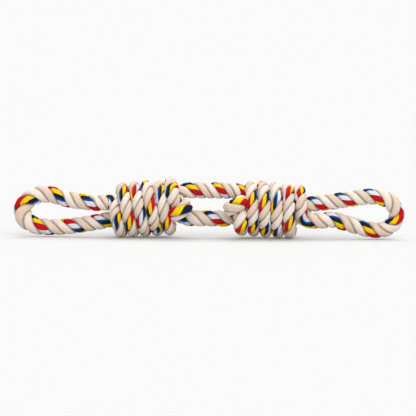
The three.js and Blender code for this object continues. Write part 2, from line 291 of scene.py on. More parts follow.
@dataclass
class Knot:
    """One knot and its loop. Its own frame is (along, y, rise): along from the outer end inwards, y away from
    the viewer, and rise up on the left and down on the right."""

    name: str
    side: int  # -1 on the left, 1 on the right
    inner: float  # how far from the toy's middle the winding ends
    slant: float  # how far a turn leans along the knot
    gather: float  # how far the turns are drawn inwards on the side away from the rise
    swell: float  # how far the winding's radius grows
    swell_at: float  # the angle where it has grown most
    anchor_depth: float  # how deep the other rope's end is gripped
    leg_shift: float  # how far the loop's legs are moved along the rise
    leg_gap: float  # the gap between the legs
    splay: float  # how far the core leg spreads along its neck
    lift: float  # how far the wrap leg spreads along its neck
    bend_swell: float  # how far the bow swells sideways where it bends
    bend_draw: float  # how far the bow is drawn to the inside of its bend
    slack: float  # the part of a turn by which the lay lags behind the knot
    legs: tuple  # the legs from the core and to the winding

    def __post_init__(self):
        self.core_leg, self.wrap_leg = self.legs
        self.leg_rise = LEG_RISE + self.leg_shift
        self.leg_drop = self.leg_rise - ROPE_D - self.leg_gap
        self.end = PITCH * (TURNS - FRONT_TURN) - self.slant
        self.outer = self.inner + self.end
        self.lip = PITCH * FRONT_TURN + self.slant - WRAP_WIDTH / 2 - LIP_RUN

    def place(self, points):
        """Points of the knot's frame in the toy's frame, where the knot's axis rises by its lean."""
        along, y, rise = np.moveaxis(np.asarray(points, float), -1, 0)
        z = AXIS_Z + KNOT_LEAN * along - self.side * rise
        return np.stack([self.side * (self.outer - along), y, z], -1)

    def axis(self, points):
        """The points of the knot's axis beside these points."""
        along = self.outer - self.side * points[:, 0]
        return self.place(np.stack([along, 0 * along, 0 * along], -1))

    def from_end(self, points):
        """Points whose along starts at the winding's end."""
        return self.place(np.asarray(points) + (self.end, 0, 0))

    def slot(self, along, angle):
        """Points on the ring of the three core ropes, at an angle from +y towards the rise."""
        along, a = np.broadcast_arrays(np.asarray(along, float), np.radians(angle))
        return self.place(np.stack([along, CORE_RING * np.cos(a), CORE_RING * np.sin(a)], -1))

    def helix(self, angle):
        """The winding's middle line: a helix whose radius swells once, slanted so that it leans across the
        front, with its turns gathered inwards on the side away from the rise."""
        a = np.radians(angle)
        r = WIND_R + self.swell * fade((angle - self.swell_at) / SWELL_SPAN)
        along = PITCH * (angle / 360 - FRONT_TURN) - self.slant * np.cos(a)
        along = along + self.gather * (1 - np.cos(a)) / 2
        return self.place(np.stack([along, -r * np.sin(a), r * np.cos(a)], -1))


LEFT = Knot(
    "left", side=-1, inner=0.0389, slant=0.0017, gather=0.0022, swell=0.002, swell_at=360 * TURNS,
    anchor_depth=0.015, leg_shift=0.002, leg_gap=0.0033, splay=0.0022, lift=0.0027,
    bend_swell=0.24, bend_draw=0.0021, slack=0, legs=("lower", "upper"),
)
RIGHT = Knot(
    "right", side=1, inner=0.0326, slant=-0.0013, gather=0, swell=-0.0015, swell_at=360 * TURNS - 180,
    anchor_depth=0.023, leg_shift=-0.0008, leg_gap=0.0009, splay=0.0038, lift=-0.0021,
    bend_swell=0, bend_draw=0.0008, slack=0.15, legs=("upper", "lower"),
)

# The routes, given as in the part's source: (along, y, rise) in the knot's frame
WIND_BEND = ((-0.0026, -0.0003, -0.0002), (-0.0001, -0.0035, -0.0021), (0.0002, -0.0075, -0.0065),
             (0.0005, -0.0102, -0.0122))
ROUTES = {
    "left": {
        "line_entry": ((0.0122, 0.0003, 0.0153), (0.0055, 0.0009, 0.0113)),
        "anchor_entry": ((0.0122, 0.003, -0.0107), (0.006, 0.0042, -0.0079)),
        "bow": ((-0.0453, 0, -0.0124), (-0.0553, 0, -0.0125), (-0.0654, 0, -0.012), (-0.0755, 0, -0.0109),
                (-0.0848, 0, -0.0072), (-0.091, 0, -0.0012), (-0.0935, 0, 0.0056), (-0.0908, 0, 0.0136),
                (-0.0836, 0, 0.0197), (-0.0743, 0, 0.0222), (-0.0645, -0.0003, 0.021),
                (-0.0543, -0.001, 0.0179), (-0.0453, -0.0022, 0.0144)),
        "tuck": ((0.0016, -0.0214, 0.0158), (0.0026, -0.0213, 0.011), (0.0042, -0.0184, 0.007),
                 (0.0064, -0.0149, 0.005), (0.0098, -0.0133, 0.0038), (0.0133, -0.0146, 0.0024),
                 (0.0153, -0.0191, 0.0006), (0.0134, -0.0235, -0.0012), (0.0095, -0.025, -0.0032),
                 (0.0062, -0.0228, -0.005), (0.0048, -0.0184, -0.0063), (0.003, -0.0132, -0.0056),
                 (-0.0006, -0.0098, -0.0037), (-0.0042, -0.008, -0.0018)),
        "tuck_middle": (0.0096, -0.0191, 0),
    },
    "right": {
        "line_entry": ((0.004, 0.0018, 0.0079), (0.001, 0.0022, 0.0074)),
        "anchor_entry": ((0.0032, 0.0007, -0.0157), (-0.0053, 0.003, -0.0097), (-0.0118, 0.0046, -0.0069)),
        "bow": ((-0.044, 0, -0.0164), (-0.055, 0, -0.0188), (-0.066, 0, -0.0211), (-0.076, 0, -0.0222),
                (-0.0854, 0, -0.0204), (-0.0925, 0, -0.0157), (-0.0966, 0, -0.0082), (-0.0956, 0, -0.0002),
                (-0.089, 0, 0.0075), (-0.08, 0, 0.0114), (-0.07, -0.0003, 0.012), (-0.058, -0.001, 0.0095),
                (-0.045, -0.0022, 0.0069)),
        "tuck": ((0.0012, -0.0211, 0.016), (0.0009, -0.0214, 0.0112), (0.0012, -0.0186, 0.0072),
                 (0.003, -0.0149, 0.005), (0.0064, -0.0133, 0.0038), (0.0102, -0.0146, 0.0024),
                 (0.0122, -0.0191, 0.0006), (0.0103, -0.0235, -0.0012), (0.0064, -0.025, -0.0032),
                 (0.0027, -0.023, -0.005), (0.001, -0.0184, -0.0062), (-0.0004, -0.0134, -0.0056),
                 (-0.0024, -0.01, -0.0039), (-0.005, -0.0081, -0.002)),
        "tuck_middle": (0.0064, -0.0191, 0),
    },
}

# Where the coloured strand faces the viewer: x, z and the colour band at its middle (from 0 red, from about 1
# yellow, 2 navy and 3 white), for the line, the loop and the front of the winding, in the order of the rope.
# On the tuck also the part of a turn by which it misses the viewer's side
MARKS = {
    "left": {
        "line": ((0.0355, 0.0455, 0.5), (0.0122, 0.0505, 0.5), (-0.0138, 0.0491, 0.9)),
        "loop": ((-0.1062, 0.0166, 2.7), (-0.1347, 0.0133, 3.5), (-0.1672, 0.0139, 0.5),
                 (-0.1822, 0.0398, 1.9), (-0.1494, 0.0407, 2.5), (-0.1176, 0.0367, 3.4)),
        "knot": ((-0.0965, 0.0385, 2.7), (-0.0928, 0.016, 2.5), (-0.0867, 0.0495, 1.9),
                 (-0.0813, 0.015, 1.6), (-0.0764, 0.0505, 0.4), (-0.0686, 0.0205, 3.55),
                 (-0.0661, 0.0545, 1.5), (-0.0601, 0.0325, 1.2), (-0.0523, 0.007, 3.5),
                 (-0.0492, 0.0505, 2.5), (-0.0413, 0.0149, 1.6)),
        "tuck": ((-0.0383, 0.046, 3.4, 0), (-0.0225, 0.0308, 3.5, 0.02), (-0.029, 0.0284, 1.6, 0.05),
                 (-0.035, 0.0262, -0.3, 0.1)),
    },
    "right": {
        "line": ((-0.0273, 0.022, 2.1), (0.0064, 0.0199, 0.1)),
        "loop": ((0.108, 0.0356, 4.0), (0.1374, 0.0384, 3.95), (0.1662, 0.0408, 0.3),
                 (0.1848, 0.0198, 1.5), (0.1592, 0.0086, 1.6), (0.1254, 0.0183, 2.3)),
        "knot": ((0.0992, 0.0158, 2.5), (0.0908, 0.0235, 2.6), (0.0903, 0.0497, 1.25),
                 (0.0806, 0.0166, 1.5), (0.0789, 0.0495, 0.5), (0.0675, 0.0075, 3.1),
                 (0.0659, 0.0418, 2.8), (0.0556, 0.0091, 2.3), (0.0534, 0.0418, 1.5),
                 (0.0431, 0.0113, 1.7), (0.041, 0.0435, 1.5)),
        "tuck": ((0.0312, 0.0175, 2.9, 0), (0.0225, 0.033, 4.1, -0.35), (0.0275, 0.0353, 2.0, -0.2),
                 (0.0325, 0.0375, -0.1, -0.05)),
    },
}


def smooth_curve(points):
    """A centripetal Catmull-Rom curve: between two points a cubic whose slopes come from its neighbours, with
    each stretch's share of the parameter the square root of its length. Gives the places on each stretch."""
    p = np.asarray(points, float)
    p = np.concatenate([[2 * p[0] - p[1]], p, [2 * p[-1] - p[-2]]])
    a, b, c, d = p[:-3], p[1:-2], p[2:-1], p[3:]
    width = np.sqrt(np.linalg.norm(np.diff(p, axis=0), axis=1))[:, None]
    before, here, after = width[:-2], width[1:-1], width[2:]
    leave = here * ((b - a) / before - (c - a) / (before + here) + (c - b) / here)
    arrive = here * ((c - b) / here - (d - b) / (here + after) + (d - c) / after)
    t = (np.arange(CURVE_STEPS) / CURVE_STEPS)[None, :, None]
    b, c, leave, arrive = (v[:, None, :] for v in (b, c, leave, arrive))
    return b + t * leave + t**2 * (3 * (c - b) - 2 * leave - arrive) + t**3 * (2 * (b - c) + leave + arrive)


def unit(v):
    """Vectors scaled to length 1."""
    return v / np.linalg.norm(v, axis=-1, keepdims=True)


def running(steps):
    """The running sum of the steps, from 0."""
    return np.concatenate([[0], np.cumsum(steps)])


def even(values, span):
    """Values along the rope, each replaced by the mean over a span of rope round it, column by column."""
    if values.ndim > 1:
        return np.stack([even(column, span) for column in values.T], 1)
    half = max(int(span / RING_STEP / 2), 1)
    padded = np.pad(values, (half, half), mode="edge")
    return np.convolve(padded, np.full(2 * half + 1, 1 / (2 * half + 1)), "valid")


class Rope:
    """One whole rope from its first end to its last: rings a step apart, each with its middle, its
    heading, the way that faces out, its squeeze, its turn of the lay and its colour band."""

    def __init__(self, own, other, line, rise):
        self.own = own
        self.names = []
        self.first = {}
        self.last = {}
        lines = []
        for name, curve in self.sections(own, other, line, rise):
            self.names.append(name)
            lines.append(curve)
        self.lay_rings(lines)
        self.ease_run_in()
        self.draw_in()
        self.face()
        self.squeeze()
        self.twist()

    def sections(self, own, other, line, rise):
        """The rope's stretches in order, each as the dense line that it follows."""
        yield from self.cut(self.line_and_loop(own, other, line, rise))
        lead = own.slant / 2
        bend = own.place([
            (MOUTH, LEG_FRONT, own.leg_rise),
            (MOUTH / 2, LEG_FRONT, own.leg_rise),
            *[(x + lead, LEG_FRONT + y, own.leg_rise + z) for x, y, z in WIND_BEND],
        ])
        run_in = smooth_curve([*bend, *own.helix(np.array([FIRST_ANGLE, FIRST_ANGLE + TURN_STEP]))])
        turns = own.helix(np.arange(FIRST_ANGLE, LAST_ANGLE, 1.0))
        yield f"{own.name}_knot_winding", np.concatenate([run_in[:-1].reshape(-1, 3), turns])
        last, end = own.helix(np.array([LAST_ANGLE - 1.0, LAST_ANGLE]))
        run_on = end + unit(end - last) * TUCK_RUN_ON
        tail = own.end - TAIL_DEPTH
        tuck = own.from_end(ROUTES[own.name]["tuck"])
        yield from self.cut([
            (f"{own.name}_tuck", [end, run_on, *tuck, own.slot(tail, TAIL_SLOT)]),
            (f"{own.name}_tail", own.slot([tail - TAIL_LENGTH / 2, tail - TAIL_LENGTH], TAIL_SLOT)),
        ])

    def line_and_loop(self, own, other, line, rise):
        """The points of each stretch from the rope's first end, gripped in the other knot, to the winding."""
        mine, theirs = ROUTES[own.name], ROUTES[other.name]
        line_x = other.side * LINE_HALF
        swing_x = other.side * (LINE_HALF + LINE_BEND)
        swing_in, line_in, line_middle, line_out, swing_out = (
            (x, 0, AXIS_Z + rise) for x in (swing_x, line_x, 0, -line_x, -swing_x))
        anchor = other.end - other.anchor_depth
        anchor_slot = other.slot([anchor, anchor + CORE_D / 2], ANCHOR_SLOT)
        anchor_entry = other.from_end(theirs["anchor_entry"])[::-1]
        hold = own.end - own.anchor_depth - WHIPPING_LENGTH - CORE_HOLD
        line_slot = own.slot([own.end - SLOT_DEPTH, hold], LINE_SLOT)
        share = np.arange(1, CROSSING_STEPS + 1) / CROSSING_STEPS
        crossing = own.slot(hold + share * (own.lip - hold), LINE_SLOT + share * (EXIT_SLOT - LINE_SLOT))
        entry = own.from_end(mine["line_entry"])
        mouth = own.place((MOUTH, 0, own.leg_drop))
        core_neck = own.place([
            (MOUTH - NECK / 2, 0, own.leg_drop - NECK_SHARE * own.splay),
            (MOUTH - NECK, 0, own.leg_drop - own.splay),
        ])
        bow = own.place([*mine["bow"], (MOUTH - NECK, LEG_FRONT + LEG_SHIFT, own.leg_rise + own.lift)])
        wrap_neck = own.place([
            (MOUTH - NECK / 2, LEG_FRONT, own.leg_rise + NECK_SHARE * own.lift),
            (MOUTH - SETTLE_RUN, LEG_FRONT, own.leg_rise + SETTLE_SHARE * own.lift),
            (MOUTH, LEG_FRONT, own.leg_rise),
        ])
        return [
            (f"{other.name}_anchored_end", [*anchor_slot, *anchor_entry]),
            (f"{line}_{other.name}_neck", [swing_in, line_in]),
            (f"{line}_line", [line_middle, line_out]),
            (f"{line}_{own.name}_neck", [swing_out, entry[0]]),
            (f"{own.name}_core_line", [*entry[1:], *line_slot, *crossing, mouth]),
            (f"{own.name}_{own.core_leg}_neck", core_neck),
            (f"{own.name}_loop_bow", bow),
            (f"{own.name}_{own.wrap_leg}_neck", wrap_neck),
        ]

    def cut(self, parts):
        """One smooth curve through all the parts' points, cut where each part ends."""
        points = np.concatenate([p for _, p in parts])
        curve = smooth_curve(points)
        done = 0
        for name, p in parts:
            start = max(done - 1, 0)
            done += len(p)
            yield name, np.concatenate([curve[start:done - 1].reshape(-1, 3), points[done - 1:done]])

    def lay_rings(self, lines):
        """Rings an even step apart on each stretch, the last one of a stretch being the first of the next."""
        middles = []
        count = 0
        for name, line in zip(self.names, lines):
            far = running(np.linalg.norm(np.diff(line, axis=0), axis=1))
            steps = max(int(round(far[-1] / RING_STEP)), 2)
            places = np.linspace(0, far[-1], steps + 1)
            ring = np.stack([np.interp(places, far, line[:, k]) for k in range(3)], 1)
            middles.append(ring if not middles else ring[1:])
            self.first[name] = max(count - 1, 0)
            count += len(middles[-1])
            self.last[name] = count - 1
        self.middle = np.concatenate(middles)
        self.measure()

    def measure(self):
        """The rings' headings, and how far along the rope they are."""
        self.heading = unit(np.gradient(self.middle, axis=0))
        self.distance = running(np.linalg.norm(np.diff(self.middle, axis=0), axis=1))

    def ease_run_in(self):
        """Eases the bend where the loop's leg turns into the winding: each middle moves towards the mean
        over a span of rope round it, by a share that fades from the bend."""
        bend = self.distance[self.first[f"{self.own.name}_knot_winding"]] + RUN_IN
        share = fade((self.distance - bend) / EASE_REACH)[:, None]
        self.middle += share * (even(self.middle, EASE_SPAN) - self.middle)
        self.measure()

    def draw_in(self):
        """Draws the loop's bow towards the inside of its bend, by the knot's bend_draw times the bend,
        which is half the rope's diameter over the bend's radius."""
        bow = self.span(f"{self.own.name}_loop_bow")
        bend = np.zeros_like(self.middle)
        bend[bow] = np.gradient(self.heading[bow], axis=0) / RING_STEP * ROPE_D / 2
        self.middle += self.own.bend_draw * even(bend, SQUEEZE_SPAN)
        self.measure()

    def span(self, first, last=None):
        """The rings from the start of one stretch to the end of another."""
        return slice(self.first[first], self.last[last or first] + 1)

    def face(self):
        """The way that faces out: towards the viewer on the lines and loops, away from the axis on the
        winding, and away from the upright middle of its small turn on the tuck, passing smoothly from one
        to the next, and each turned square to the rope."""
        own = self.own
        toward = np.tile((0.0, -1.0, 0.0), (len(self.middle), 1))
        wound = self.span(f"{own.name}_knot_winding", f"{own.name}_tail")
        toward[wound] = unit(self.middle[wound] - own.axis(self.middle[wound]))
        tucked = self.span(f"{own.name}_tuck", f"{own.name}_tail")
        tucked = slice(tucked.start + int(TUCK_RUN / RING_STEP), tucked.stop)
        round_turn = self.middle[tucked] - own.from_end(ROUTES[own.name]["tuck_middle"])
        toward[tucked] = unit(round_turn * (1, 1, 0))
        toward = even(toward, 2 * SQUEEZE_SPAN)
        toward -= self.heading * np.sum(toward * self.heading, axis=1, keepdims=True)
        self.out = unit(toward)
        self.side = np.cross(self.heading, self.out)

    def squeeze(self):
        """How far each ring is pressed, out and sideways. The bow swells sideways where it bends."""
        own = self.own
        pressed = np.tile(FREE, (len(self.middle), 1))
        for name in self.names:
            kind = FREE
            if name.endswith(("anchored_end", "core_line", "tail")):
                kind = CORE
            elif name.endswith("winding"):
                kind = WRAP
            elif name.endswith("tuck"):
                kind = TUCK
            pressed[self.span(name)] = kind
        loop = self.span(f"{own.name}_core_line", f"{own.name}_knot_winding")
        along = own.outer - own.side * self.middle[loop, 0]
        run_in = self.distance[loop] < self.distance[self.first[f"{own.name}_knot_winding"]] + RUN_IN
        pressed[loop][run_in & (along < own.lip + RUN_IN / 2)] = FREE
        bow = self.span(f"{own.name}_loop_bow")
        bend = np.linalg.norm(np.gradient(self.heading[bow], axis=0), axis=1) / RING_STEP
        pressed[bow, 1] += own.bend_swell * bend * ROPE_D / 2
        self.pressed = even(pressed, SQUEEZE_SPAN)

    def nearest(self, rings, marks, drawn_in=1, front=FRONT_Y):
        """For each mark, the ring of these that lies nearest to it, seen from the front, of those that lie no
        further back than front. Marks on the winding's surface are drawn in to its middle line."""
        middle = self.middle[rings]
        x, z = np.asarray(marks).T[:2]
        z = AXIS_Z + (z - AXIS_Z) * drawn_in
        away = (middle[:, 0] - x[:, None]) ** 2 + (middle[:, 2] - z[:, None]) ** 2
        away = np.where(middle[:, 1] > front, 1, away)
        return rings.start + np.argmin(away, axis=1)

    def marked(self):
        """The marks along the rope: how far along it they lie, the lay's turns there, in whole turns of about
        the right length, and the colour bands, with the whole repeats that as many turns of the lay need."""
        own = self.own
        marks = MARKS[own.name]
        line = self.span(self.names[0], f"{own.name}_core_line")
        loop = self.span(f"{own.name}_core_line", f"{own.name}_{own.wrap_leg}_neck")
        rings = np.concatenate([
            self.nearest(line, marks["line"]),
            self.nearest(loop, marks["loop"]),
            self.nearest(self.span(f"{own.name}_knot_winding"), marks["knot"], drawn_in=WIND_R / SURFACE_R),
            self.nearest(self.span(f"{own.name}_tuck"), marks["tuck"], front=TUCK_FRONT_Y),
        ])
        at = self.distance[rings]
        missed = np.zeros(len(at))
        missed[-len(marks["tuck"]):] = np.asarray(marks["tuck"])[:, 3]
        turns = running(np.round(np.diff(at) / LAY)) + missed
        band = np.concatenate([np.asarray(marks[k])[:, 2] for k in ("line", "loop", "knot", "tuck")])
        grown = np.diff(turns) * BANDS_PER_TURN
        jump = np.diff(band)
        jump += COLOURS * np.round((grown - jump) / COLOURS) * (np.diff(turns) > PATCH_TURNS)
        return at, turns, band[0] + running(jump)

    def twist(self):
        """The lay's turns and the colour bands: they pass through the marks, as evenly as they can between
        them. Where a wound turn passes behind, the lay lags by the knot's slack a quarter of the way to the
        next mark. Round a strand the bands run the other way on the tuck, where the rope comes back."""
        own = self.own
        at, turns, band = self.marked()
        back = np.flatnonzero(np.diff(turns) > BACK_TURNS)
        quarter = [v[back] + np.diff(v)[back] / 4 for v in (at, turns, band)]
        at = np.insert(at, back + 1, quarter[0])
        turns = np.insert(turns, back + 1, quarter[1] - own.slack)
        band = np.insert(band, back + 1, quarter[2] - own.slack * BANDS_PER_TURN)
        ends = self.distance[[0, -1]]
        before, after = (at[0] - ends[0]) / LAY, (ends[1] - at[-1]) / LAY
        at = np.concatenate([ends[:1], at, ends[1:]])
        turns = np.concatenate([[turns[0] - before], turns, [turns[-1] + after]])
        first_band, last_band = band[0] - before * BANDS_PER_TURN, band[-1] + after * BANDS_PER_TURN
        band = np.concatenate([[first_band], band, [last_band]])
        self.turn = even(np.interp(self.distance, at, turns), LAY_SPAN)
        self.band = even(np.interp(self.distance, at, band), LAY_SPAN)
        round_strand = np.full(len(self.middle), BANDS_ROUND)
        round_strand[self.first[f"{own.name}_tuck"] + int(TUCK_BACK / RING_STEP):] = TUCK_BANDS_ROUND
        self.round_strand = even(round_strand, LAY_SPAN)

    def strands(self, rings):
        """The strands' surfaces. Round each strand an oval, a little square, whose middle goes round the
        rope's own middle once a turn; then the whole section is pressed out and sideways, and the floor
        presses flat what would lie below it: z becomes the mean of z and the root of the sum of its
        square and the square of PRESS. Gives places and yarn coordinates, by ring, strand and point, and
        how deep in the groove between two strands each point lies. The colours go on from strand to
        strand and, by the way gone round its oval, round each strand."""
        g = np.linspace(-np.pi, np.pi, STRAND_POINTS + 1)
        high = STRAND_RING + STRAND_HIGH * np.sign(np.cos(g)) * np.abs(np.cos(g)) ** STRAND_FULLNESS
        wide = STRAND_WIDE * np.sign(np.sin(g)) * np.abs(np.sin(g)) ** STRAND_FULLNESS
        round_oval = running(np.hypot(np.diff(high), np.diff(wide)))
        share = round_oval / round_oval[-1] - 0.5
        g, high, wide = g[:-1], high[:-1], wide[:-1]
        a = 2 * np.pi * (self.turn[rings][:, None] + np.arange(STRANDS) / STRANDS)
        out = high * np.cos(a)[..., None] - wide * np.sin(a)[..., None]
        side = high * np.sin(a)[..., None] + wide * np.cos(a)[..., None]
        out *= self.pressed[rings][:, 0, None, None]
        side *= self.pressed[rings][:, 1, None, None]
        middle, outward, sideways = (v[rings][:, None, None, :] for v in (self.middle, self.out, self.side))
        places = middle + out[..., None] * outward + side[..., None] * sideways
        z = places[..., 2]
        places[..., 2] = (z + np.sqrt(z**2 + PRESS**2)) / 2
        by_ring = (self.band, self.round_strand, self.distance)
        band, round_strand, run = (v[rings][:, None, None] for v in by_ring)
        yarn = band + np.arange(STRANDS)[:, None] + round_strand * share
        run = np.broadcast_to(run, yarn.shape)
        # How deep in the groove each point lies, which the cotton darkens as painted shade
        groove = np.broadcast_to((1 - np.cos(g)) / 2, places.shape[:-1])
        return places, np.stack([yarn / COLOURS, run / ROPE_D], -1), groove


def tube_faces(rings, tubes, points):
    """Quads joining each ring of each tube to the next ring, and a closing face at both ends."""
    def number(i, k, j):
        return (i * tubes + k) * points + j % points

    i, k, j = np.meshgrid(np.arange(rings - 1), np.arange(tubes), np.arange(points), indexing="ij")
    quads = np.stack([number(i, k, j), number(i, k, j + 1), number(i + 1, k, j + 1), number(i + 1, k, j)], -1)
    quads = quads.reshape(-1, 4)[:, ::-1]
    ends = []
    for k in range(tubes):
        ends.append(number(0, k, np.arange(points)))
        ends.append(number(rings - 1, k, np.arange(points))[::-1])
    return quads, ends


def new_piece(name, places, coordinates, groove, materials):
    """A piece of closed tubes from places by ring, tube and point, with its yarn coordinates as the map, its
    grooves as an attribute and a material for each tube. The coordinates have one more point round each tube,
    where the map closes. The end faces meet the sides at a sharp edge."""
    rings, tubes, points, _ = places.shape
    quads, ends = tube_faces(rings, tubes, points)
    mesh = bpy.data.meshes.new(name)
    mesh.from_pydata(places.reshape(-1, 3), [], [*quads.tolist(), *[e.tolist() for e in ends]])
    corners = np.empty(len(mesh.loops), np.int32)
    mesh.loops.foreach_get("vertex_index", corners)
    column = corners % points
    sides = column[:quads.size].reshape(-1, 4)
    sides[(sides == 0) & (sides.max(axis=1, keepdims=True) == points - 1)] = points
    flat = coordinates.reshape(-1, 2)[corners // points * (points + 1) + column]
    mesh.uv_layers.new(name="yarn").data.foreach_set("uv", flat.astype(np.float32).ravel())
    depth = mesh.attributes.new("groove", "FLOAT", "POINT")
    depth.data.foreach_set("value", groove.astype(np.float32).ravel())
    tube = np.concatenate([(quads[:, 0] // points) % tubes, np.repeat(np.arange(tubes), 2)])
    for material in materials:
        mesh.materials.append(material)
    mesh.polygons.foreach_set("material_index", np.minimum(tube, len(materials) - 1).astype(np.int32))
    mesh.polygons.foreach_set("use_smooth", np.ones(len(mesh.polygons), bool))
    edges = np.empty(2 * len(mesh.edges), np.int32)
    mesh.edges.foreach_get("vertices", edges)
    ring = edges.reshape(-1, 2) // (tubes * points)
    at_end = (ring == 0).all(axis=1) | (ring == rings - 1).all(axis=1)
    mesh.attributes.new("sharp_edge", "BOOLEAN", "EDGE").data.foreach_set("value", at_end)
    mesh.update()
    piece = bpy.data.objects.new(name, mesh)
    bpy.context.scene.collection.objects.link(piece)
    return piece


def linear(*srgb):
    """A colour written as 0 to 255 in the picture's own scale, as the shader takes it."""
    c = np.asarray(srgb, float) / 255
    return (*np.where(c <= 0.04045, c / 12.92, ((c + 0.055) / 1.055) ** 2.4), 1.0)


# The colours, and where each starts in one repeat of the coloured yarns
RED = linear(196, 15, 30)
YELLOW = linear(250, 206, 6)
NAVY = linear(20, 29, 48)
BLUE = linear(0, 84, 158)
WHITE = linear(226, 226, 230)
CREAM_COTTON = linear(243, 229, 216)
BEIGE_COTTON = linear(230, 209, 190)
TWINE_COTTON = linear(205, 192, 168)
COLOUR_BANDS = [(0, RED), (0.295, YELLOW), (0.505, NAVY), (0.69, BLUE), (0.775, WHITE)]

# The cotton: how far its yarns wander and how often, its fibres across and along a strand, and its mottling
WANDER = 0.008
WANDER_SCALE = 2.3
FIBRES_ACROSS = 46.0
FIBRES_ALONG = 6.0
MOTTLE_SCALE = 160.0

# What makes it lighter: its own share, a yarn's ridge (painted shade between the yarns), the fibres and the mottling
OWN_LIGHT = 0.645
RIDGE_PAINTED_SHADE = 0.18
FIBRE_LIGHT = 0.34
MOTTLE_LIGHT = 0.14

# The groove between two strands, darkened in the colour as painted shade: where that shade starts, where it is full,
# and how light it is there
GROOVE_START = 0.38
GROOVE_FULL = 0.55
GROOVE_LIGHT = 0.7

# The bump of the yarns and their fibres, and how they take the light
FIBRE_HEIGHT = 0.7
YARN_HEIGHT = 0.0004
BUMP = 0.35
NATURAL_ROUGHNESS = 0.85
TREATED_ROUGHNESS = 0.8
SHEEN = 0.03
GLOSS = 0.12


class Nodes:
    """A material's nodes, made and joined by short calls."""

    def __init__(self, name):
        self.material = bpy.data.materials.new(name)
        self.material.use_nodes = True
        self.tree = self.material.node_tree
        self.shader = self.tree.nodes["Principled BSDF"]

    def fill(self, socket, value):
        """Gives an input a value, or joins another node's output to it."""
        if isinstance(value, bpy.types.NodeSocket):
            self.tree.links.new(value, socket)
        else:
            socket.default_value = value

    def add(self, kind, inputs=(), **settings):
        """A node of a kind, with settings, and each input either a value or another node's output."""
        node = self.tree.nodes.new(kind)
        for key, value in settings.items():
            setattr(node, key, value)
        for key, value in dict(inputs).items():
            self.fill(node.inputs[key], value)
        return node

    def maths(self, operation, *values):
        """The result of an operation on one or two numbers."""
        return self.add("ShaderNodeMath", enumerate(values), operation=operation).outputs[0]

    def mix(self, share, a, b, way="MIX"):
        """A colour between two, by a share."""
        node = self.add("ShaderNodeMix", data_type="RGBA", blend_type=way)
        for key, value in (("Factor_Float", share), ("A_Color", a), ("B_Color", b)):
            self.fill(next(s for s in node.inputs if s.identifier == key), value)
        return next(s for s in node.outputs if s.identifier == "Result_Color")

    def bands(self, place, colours):
        """The colour at a place in a repeat, from a list of (where a band starts, colour)."""
        node = self.add("ShaderNodeValToRGB", {0: self.maths("FRACT", place)})
        ramp = node.color_ramp
        ramp.interpolation = "CONSTANT"
        for start, _ in colours[len(ramp.elements):]:
            ramp.elements.new(start)
        for element, (start, colour) in zip(ramp.elements, colours):
            element.position = start
            element.color = colour
        return node.outputs[0]


def cotton(name, colours, roughness):
    """Spun cotton: yarns side by side along the map's second coordinate, each rounded, with fibres along it.
    Painted shade darkens its colour between the yarns and in the groove between two strands.
    colours is one colour, or a list of (where a band starts, colour) over a repeat of the map's first
    coordinate."""
    n = Nodes(name)
    place = n.add("ShaderNodeUVMap", uv_map="yarn").outputs[0]
    parts = n.add("ShaderNodeSeparateXYZ", {0: place})
    across, along = parts.outputs[0], parts.outputs[1]
    wander = n.add("ShaderNodeTexNoise", {"Vector": place, "Scale": WANDER_SCALE, "Detail": 2.0}).outputs[0]
    shifted = n.maths("ADD", across, n.maths("MULTIPLY", n.maths("SUBTRACT", wander, 0.5), WANDER))
    base = n.bands(shifted, colours) if isinstance(colours, list) else colours
    yarn = n.maths("MULTIPLY", shifted, COLOURS * YARNS_PER_BAND * np.pi)
    ridge = n.maths("ABSOLUTE", n.maths("SINE", yarn))
    fibre_x, fibre_y = n.maths("MULTIPLY", across, FIBRES_ACROSS), n.maths("MULTIPLY", along, FIBRES_ALONG)
    stretch = n.add("ShaderNodeCombineXYZ", {0: fibre_x, 1: fibre_y}).outputs[0]
    fibres = n.add("ShaderNodeTexNoise", {"Vector": stretch, "Scale": 1.0, "Detail": 3.0}).outputs[0]
    spot = n.add("ShaderNodeTexCoord").outputs["Object"]
    mottle = n.add("ShaderNodeTexNoise", {"Vector": spot, "Scale": MOTTLE_SCALE, "Detail": 3.0}).outputs[0]
    # Painted shade: the hollows between the yarns are darker than their ridges. The fibres and mottling vary the
    # cotton's own colour.
    shade = OWN_LIGHT
    for part, share in ((ridge, RIDGE_PAINTED_SHADE), (fibres, FIBRE_LIGHT), (mottle, MOTTLE_LIGHT)):
        shade = n.maths("ADD", n.maths("MULTIPLY", part, share), shade)
    # Painted shade in the groove between two strands: the colour darkens towards a strand's side in the groove
    depth = n.add("ShaderNodeAttribute", attribute_name="groove").outputs["Fac"]
    shadow = n.add("ShaderNodeMapRange", {
        "Value": depth, "From Min": GROOVE_START, "From Max": GROOVE_FULL,
        "To Min": 1.0, "To Max": GROOVE_LIGHT,
    })
    shade = n.maths("MULTIPLY", shade, shadow.outputs[0])
    tone_and_painted_shade = n.add("ShaderNodeCombineColor", {0: shade, 1: shade, 2: shade}).outputs[0]
    height = n.maths("ADD", ridge, n.maths("MULTIPLY", fibres, FIBRE_HEIGHT))
    bump = n.add("ShaderNodeBump", {"Height": height, "Strength": BUMP, "Distance": YARN_HEIGHT})
    n.fill(n.shader.inputs["Base Color"], n.mix(1.0, base, tone_and_painted_shade, "MULTIPLY"))
    n.fill(n.shader.inputs["Normal"], bump.outputs[0])
    n.fill(n.shader.inputs["Roughness"], roughness)
    n.fill(n.shader.inputs["Sheen Weight"], SHEEN)
    n.fill(n.shader.inputs["Specular IOR Level"], GLOSS)
    return n.material


